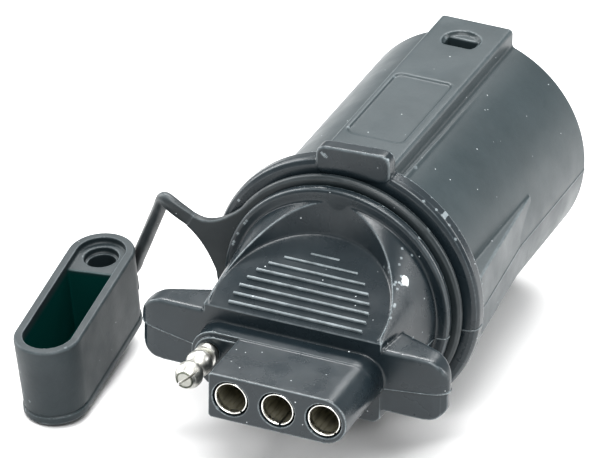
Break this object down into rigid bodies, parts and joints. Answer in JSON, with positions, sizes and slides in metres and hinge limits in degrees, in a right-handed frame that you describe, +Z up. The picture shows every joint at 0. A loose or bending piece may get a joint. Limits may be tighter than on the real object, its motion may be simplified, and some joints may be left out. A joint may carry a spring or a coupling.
{
  "type": "trailer wiring adapter",
  "caption": "Trailer wiring adapter: a round seven-way blade plug with a key rib, a moulded grip with thumb scoop and ears, a four-way flat end and a tethered rubber dust cap.",
  "frame": {"origin": "centre of the bounding box of the whole part at floor level", "axes": "+Z up, +Y along the barrel from the flat face towards the open plug end, +X to the right seen from the flat face"},
  "size_m": [0.0915, 0.1082, 0.0581],
  "materials": {
    "grip_black": "satin",
    "shell_grey": "satin",
    "carrier_black": "matt",
    "potting": "satin",
    "holder_grey": "matt",
    "rubber_black": "satin",
    "cap_rubber": "matt",
    "nickel": "plated, polished",
    "brass": "satin",
    "lead_green": "satin",
    "lead_yellow": "satin",
    "lead_brown": "satin",
    "lead_white": "satin"
  },
  "bodies": {
    "housing": {"grip_housing": "grip_black", "plug_shell": "shell_grey", "blade_carrier": "carrier_black", "potting_disc": "potting", "terminal_holder": "holder_grey", "blade_right": "brass", "wire_right": "lead_green", "socket_right": "nickel", "blade_left": "brass", "wire_left": "lead_yellow", "socket_left": "nickel", "blade_tail": "brass", "wire_tail": "lead_brown", "socket_tail": "nickel", "blade_ground": "brass", "wire_ground": "lead_white", "ground_pin": "nickel"},
    "tether_ring": {"tether_ring": "rubber_black"},
    "dust_cap": {"tether_strap": "rubber_black", "dust_cap": "cap_rubber"}
  },
  "joints": [
    {"name": "ring_swivel", "type": "hinge", "parent": "housing", "child": "tether_ring", "pos_m": [0, -0.0122, 0.02754], "axis": [0, 1, 0], "continuous": true},
    {"name": "strap_flex", "type": "hinge", "parent": "tether_ring", "child": "dust_cap", "pos_m": [-0.0375, -0.0115, 0.03814], "axis": [0.1792, 0.9162, 0.3585], "range_deg": [-10, 80], "stiffness_Nm_per_rad": 0.002, "deforming": ["tether_strap"]}
  ]
}
